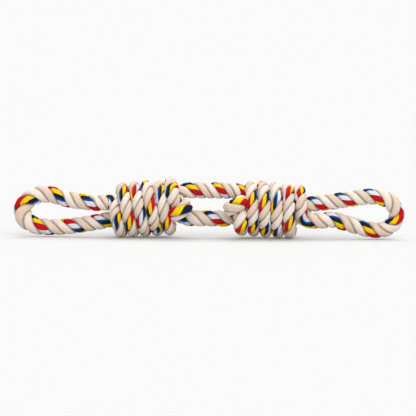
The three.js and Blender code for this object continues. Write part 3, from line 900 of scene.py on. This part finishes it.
coloured_strand = cotton("coloured_strand", COLOUR_BANDS, TREATED_ROUGHNESS)
beige_strand = cotton("beige_strand", BEIGE_COTTON, NATURAL_ROUGHNESS)
cream_strand = cotton("cream_strand", CREAM_COTTON, NATURAL_ROUGHNESS)
twine = cotton("whipping_twine", TWINE_COTTON, TREATED_ROUGHNESS)

# The twine's mesh: rings in a turn of twine, and points round the rope's end
TWINE_RINGS = 8
TWINE_POINTS = 48


def bind_end(name, node):
    """The twine round a rope's end: a barrel along X whose radius swells once for each turn of twine,
    closed at both ends, in the space of its CAD node."""
    low, high = (np.array(v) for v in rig.box(node))
    middle = (low + high) / 2
    turns = round(WHIPPING_LENGTH / TWINE_D)
    x = np.linspace(low[0], high[0], TWINE_RINGS * turns + 1)[:, None]
    round_end = np.linspace(0, 2 * np.pi, TWINE_POINTS + 1)
    a = round_end[None, :-1]
    swell = np.abs(np.sin(np.pi * turns * (x - low[0]) / (high[0] - low[0]) + a / 2))
    r = CORE_D / 2 - TWINE_SINK * (1 - swell)
    y, z = middle[1] + r * np.cos(a), middle[2] + r * np.sin(a)
    places = np.stack([np.broadcast_to(x, r.shape), y, z], -1)[:, None]
    coordinates = np.stack(np.broadcast_arrays((x - low[0]) / ROPE_D, round_end), -1)[:, None]
    groove = (1 - swell)[:, None] * TWINE_SINK / TWINE_D
    piece = new_piece(name, places, coordinates, groove, [twine])
    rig.slot(piece, "whipping_twine")
    return piece


def dress(rope, name):
    """The rope's own piece for one stretch, in place of its CAD solid."""
    places, coordinates, groove = rope.strands(rope.span(name))
    strands = [coloured_strand, beige_strand, cream_strand]
    piece = new_piece(f"{name}_rope", places, coordinates, groove, strands)
    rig.replaces(piece, name)
    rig.slot(piece, "cotton_rope")
    return piece


left_rope = Rope(LEFT, RIGHT, "centre_upper", UPPER_RISE)
right_rope = Rope(RIGHT, LEFT, "centre_lower", LOWER_RISE)
pieces = {name: dress(rope, name) for rope in (left_rope, right_rope) for name in rope.names}

# What each piece rides on: the knots, the loops with the necks that bend between them, and the centre lines
for rope in (left_rope, right_rope):
    own = rope.own
    neck_start, neck_end = (own.side * (own.outer - along) for along in (MOUTH, MOUTH - NECK))
    bow_end = own.side * (own.outer - MOUTH + 2 * NECK)
    for leg in ("upper", "lower"):
        neck = pieces[f"{own.name}_{leg}_neck"]
        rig.blend(neck, f"{own.name}_knot", f"{own.name}_neck", (neck_start, 0, 0), (neck_end, 0, 0))
    bow = pieces[f"{own.name}_loop_bow"]
    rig.blend(bow, f"{own.name}_neck", f"{own.name}_loop", (neck_end, 0, 0), (bow_end, 0, 0))
    for part in ("knot_winding", "core_line", "tuck", "tail", "anchored_end"):
        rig.ride(pieces[f"{own.name}_{part}"], f"{own.name}_knot")
    for part in ("tail_whipping", "anchor_whipping"):
        node = f"{own.name}_{part}"
        binding = bind_end(f"{node}_twine", node)
        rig.replaces(binding, node)
        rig.ride(binding, f"{own.name}_knot")
for level in ("upper", "lower"):
    parts = ("line", "left_neck", "right_neck")
    line, left_neck, right_neck = (pieces[f"centre_{level}_{part}"] for part in parts)
    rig.ride(line, "centre_lines")
    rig.blend(left_neck, "left_knot", "centre_lines", (LEFT_NECK_END, 0, 0), (-LINE_HALF, 0, 0))
    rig.blend(right_neck, "centre_lines", "right_knot", (LINE_HALF, 0, 0), (RIGHT_NECK_END, 0, 0))

# The stretches that are declared as cords, with their diameters: the bows, and the windings of squeezed rope
CORDS = (("loop_bow", ROPE_D, "loose"), ("knot_winding", ROPE_D * np.mean(WRAP), "coiled"))
for rope in (left_rope, right_rope):
    for part, width, lay in CORDS:
        name = f"{rope.own.name}_{part}"
        rings = rope.span(name)
        path = rope.middle[rings]
        length = rope.distance[rings][-1] - rope.distance[rings][0]
        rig.cord(
            pieces[name], exit=path[0], length=length, diameter=width,
            far_end="object", stiffness="medium", lay=lay, path=path,
        )

# The camera: its distance and angles in degrees, and the width that the picture spans at the toy
CAMERA_AWAY = 3.2
ELEVATION = 4.5
ROLL = 0.45
CENTRE = (-0.00125, 0, 0.0302)
PICTURE_SPAN = 0.416
SENSOR = 36.0
CLIP_END = 100

# The floor: half its width, its grey as seen and as it lights the toy, and the white in it with its share
FLOOR_HALF = 30.0
FLOOR_PALE = 0.798
FLOOR_BOUNCE = 0.6
FLOOR_WHITE = 0.956
FLOOR_SHARE = 0.15

# The sky's light, and the softboxes: their energy, spread in degrees, and where they shine from
SKY = 0.5
SOFTBOXES = {
    "top_softbox": (1.4, 60, (0.05, 0.25, 1.0)),
    "front_softbox": (1.5, 50, (0.25, -1.0, 0.7)),
}


def plain_grey(level):
    """A plain grey, as the shader takes it."""
    return (level, level, level, 1)


def background_rays(tree):
    """1 for rays that see the background as it looks (the camera's, a mirror's or a glass's), else 0."""
    path = tree.nodes.new("ShaderNodeLightPath")
    seen = path.outputs["Is Camera Ray"]
    for kind in ("Is Glossy Ray", "Is Transmission Ray"):
        either = tree.nodes.new("ShaderNodeMath")
        either.operation = "MAXIMUM"
        tree.links.new(seen, either.inputs[0])
        tree.links.new(path.outputs[kind], either.inputs[1])
        seen = either.outputs[0]
    return seen


def floor():
    """A wide plain floor with a flat pale colour, which takes the toy's shadow. A share of it is seen as
    plain white, which keeps the shadow as light as in a white studio, and it throws less light up than it
    shows."""
    n = Nodes("floor")
    n.fill(n.shader.inputs["Roughness"], 1.0)
    n.fill(n.shader.inputs["Specular IOR Level"], 0.0)
    white = n.add("ShaderNodeEmission", {"Color": plain_grey(1), "Strength": FLOOR_WHITE}).outputs[0]
    seen = background_rays(n.tree)
    n.fill(n.shader.inputs["Base Color"], n.mix(seen, plain_grey(FLOOR_BOUNCE), plain_grey(FLOOR_PALE)))
    share = n.maths("MULTIPLY", seen, FLOOR_SHARE)
    mixed = n.add("ShaderNodeMixShader", {0: share, 1: n.shader.outputs[0], 2: white}).outputs[0]
    n.fill(n.tree.nodes["Material Output"].inputs["Surface"], mixed)
    mesh = bpy.data.meshes.new("floor")
    corners = np.array([(-1, -1, 0), (1, -1, 0), (1, 1, 0), (-1, 1, 0)]) * FLOOR_HALF
    mesh.from_pydata(corners.tolist(), [], [(0, 1, 2, 3)])
    mesh.materials.append(n.material)
    plane = bpy.data.objects.new("floor", mesh)
    bpy.context.scene.collection.objects.link(plane)
    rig.stage(plane)


def soft_lamp(name, energy, spread, toward):
    """A broad soft light from far away, shining from a direction."""
    lamp = bpy.data.lights.new(name, "SUN")
    lamp.energy = energy
    lamp.angle = np.radians(spread)
    box = bpy.data.objects.new(name, lamp)
    box.rotation_euler = Vector(toward).to_track_quat("Z", "Y").to_euler()
    bpy.context.scene.collection.objects.link(box)


def light():
    """An even white sky, which the camera sees as the backdrop, a softbox above, whose shadow falls a little
    forward, and one beside the camera."""
    world = bpy.data.worlds.new("studio")
    world.use_nodes = True
    tree = world.node_tree
    sky = tree.nodes["Background"]
    sky.inputs["Color"].default_value = plain_grey(1)
    strength = tree.nodes.new("ShaderNodeMapRange")
    strength.inputs["To Min"].default_value = SKY
    strength.inputs["To Max"].default_value = FLOOR_WHITE
    tree.links.new(background_rays(tree), strength.inputs["Value"])
    tree.links.new(strength.outputs[0], sky.inputs["Strength"])
    bpy.context.scene.world = world
    for name, values in SOFTBOXES.items():
        soft_lamp(name, *values)


def camera():
    """A long lens in front of the toy and a little above it, rolled slightly as the photograph is."""
    lens = bpy.data.cameras.new("camera")
    lens.sensor_width = SENSOR
    lens.lens = SENSOR * CAMERA_AWAY / PICTURE_SPAN
    lens.clip_end = CLIP_END
    eye = bpy.data.objects.new("camera", lens)
    e = np.radians(ELEVATION)
    centre = Vector(CENTRE)
    spot = centre + Vector((0, -np.cos(e), np.sin(e))) * CAMERA_AWAY
    turn = (centre - spot).to_track_quat("-Z", "Y").to_matrix().to_4x4()
    eye.matrix_world = Matrix.Translation(spot) @ turn @ Matrix.Rotation(np.radians(ROLL), 4, "Z")
    bpy.context.scene.collection.objects.link(eye)
    bpy.context.scene.camera = eye


floor()
light()
camera()
bpy.context.scene.view_settings.view_transform = "Standard"
with open("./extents.json", "w") as out:
    corners = {"cad": cad_box, "visual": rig.bounds()}
    json.dump({name: [[float(x) for x in p] for p in box] for name, box in corners.items()}, out)
